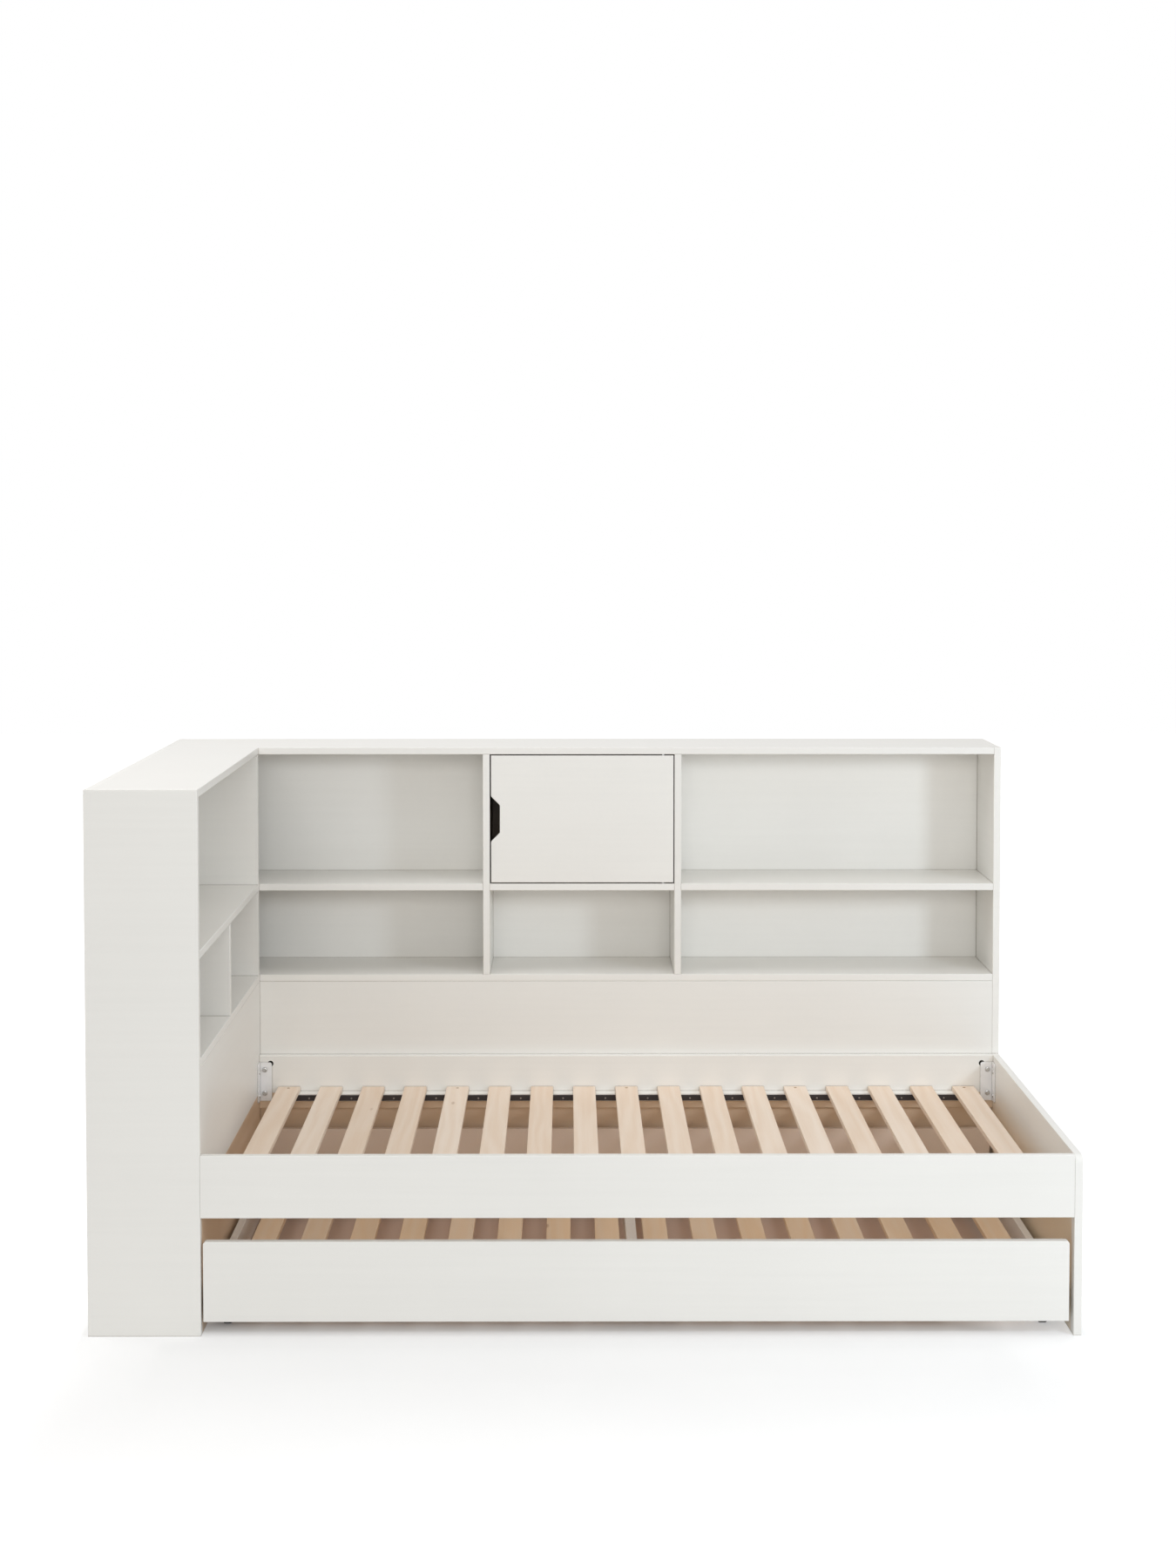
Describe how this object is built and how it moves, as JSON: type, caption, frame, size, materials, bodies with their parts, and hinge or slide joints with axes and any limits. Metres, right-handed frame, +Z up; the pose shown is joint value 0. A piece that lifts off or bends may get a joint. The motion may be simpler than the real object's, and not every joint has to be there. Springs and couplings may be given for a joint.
{
  "type": "bookcase headboard bed",
  "caption": "Corner day bed: a slatted bed framed by open headboard and wall shelving with a door, and a slatted trundle on castors that rolls out beneath.",
  "frame": {"origin": "on the floor, at the middle of the whole footprint", "axes": "+X from the headboard to the footboard, +Y from the open side to the wall shelving, +Z up"},
  "size_m": [2.198, 1.2, 1.214],
  "materials": {
    "white_paint": "satin white paint over faint grain",
    "slat_timber": "planed bare softwood",
    "bracket_paint": "white powder coat",
    "dark_strip": "matt black",
    "zinc_fixings": "bright zinc",
    "brass_screws": "yellow passivated",
    "castor_steel": "zinc plated",
    "wheel_plastic": "black moulded",
    "catch_plastic": "white moulded"
  },
  "bodies": {
    "bed": {"back_cleat": "white_paint", "back_cleat_strip": "dark_strip", "back_rail": "white_paint", "bracket_back_foot": "bracket_paint", "bracket_back_head": "bracket_paint", "bracket_bolts": "zinc_fixings", "bracket_front_foot": "bracket_paint", "bracket_front_head": "bracket_paint", "bracket_screws": "zinc_fixings", "door_catch": "catch_plastic", "footboard": "white_paint", "front_cleat": "white_paint", "front_cleat_strip": "dark_strip", "front_rail": "white_paint", "head_divider": "white_paint", "head_end_wall": "white_paint", "head_front_panel": "white_paint", "head_low_board": "white_paint", "head_lower_panel": "white_paint", "head_outer_panel": "white_paint", "head_shelf": "white_paint", "head_top": "white_paint", "main_slats": "slat_timber", "rail_cams": "zinc_fixings", "slat_screws": "brass_screws", "strip_screws": "zinc_fixings", "wall_back_panel": "white_paint", "wall_divider_left": "white_paint", "wall_divider_right": "white_paint", "wall_low_board": "white_paint", "wall_lower_panel": "white_paint", "wall_shelf_left": "white_paint", "wall_shelf_middle": "white_paint", "wall_shelf_right": "white_paint", "wall_side_left": "white_paint", "wall_side_right": "white_paint", "wall_top": "white_paint"},
    "door": {"door_panel": "white_paint", "door_pivot_pins": "zinc_fixings", "door_strike_plate": "zinc_fixings"},
    "trundle": {"castor_housing_front_left": "castor_steel", "castor_housing_front_right": "castor_steel", "castor_housing_rear_left": "castor_steel", "castor_housing_rear_right": "castor_steel", "trundle_beam": "white_paint", "trundle_end_left": "white_paint", "trundle_end_right": "white_paint", "trundle_front": "white_paint", "trundle_front_cleat": "white_paint", "trundle_rear": "white_paint", "trundle_rear_cleat": "white_paint", "trundle_slat_screws": "brass_screws", "trundle_slats_left": "slat_timber", "trundle_slats_right": "slat_timber", "castor_axles": "zinc_fixings", "castor_screws": "zinc_fixings"},
    "wheel_front_left": {"castor_wheel_front_left": "wheel_plastic"},
    "wheel_front_right": {"castor_wheel_front_right": "wheel_plastic"},
    "wheel_rear_left": {"castor_wheel_rear_left": "wheel_plastic"},
    "wheel_rear_right": {"castor_wheel_rear_right": "wheel_plastic"}
  },
  "joints": [
    {"name": "trundle_slide", "type": "slide", "parent": "bed", "child": "trundle", "axis": [0, -1, 0], "range_m": [0, 0.95]},
    {"name": "door_hinge", "type": "hinge", "parent": "bed", "child": "door", "pos_m": [0.2125, 0.359, 1.0255], "axis": [0, 0, 1], "range_deg": [0, 110]},
    {"name": "wheel_front_left_roll", "type": "hinge", "parent": "trundle", "child": "wheel_front_left", "pos_m": [-0.802, -0.514, 0.025], "axis": [1, 0, 0], "continuous": true},
    {"name": "wheel_front_right_roll", "type": "hinge", "parent": "trundle", "child": "wheel_front_right", "pos_m": [1.029, -0.514, 0.025], "axis": [1, 0, 0], "continuous": true},
    {"name": "wheel_rear_left_roll", "type": "hinge", "parent": "trundle", "child": "wheel_rear_left", "pos_m": [-0.802, 0.252, 0.025], "axis": [1, 0, 0], "continuous": true},
    {"name": "wheel_rear_right_roll", "type": "hinge", "parent": "trundle", "child": "wheel_rear_right", "pos_m": [1.029, 0.252, 0.025], "axis": [1, 0, 0], "continuous": true}
  ],
  "couplings": [
    {"joint": "wheel_front_left_roll", "follows": "trundle_slide", "rad_per_m": 40},
    {"joint": "wheel_front_right_roll", "follows": "trundle_slide", "rad_per_m": 40},
    {"joint": "wheel_rear_left_roll", "follows": "trundle_slide", "rad_per_m": 40},
    {"joint": "wheel_rear_right_roll", "follows": "trundle_slide", "rad_per_m": 40}
  ]
}
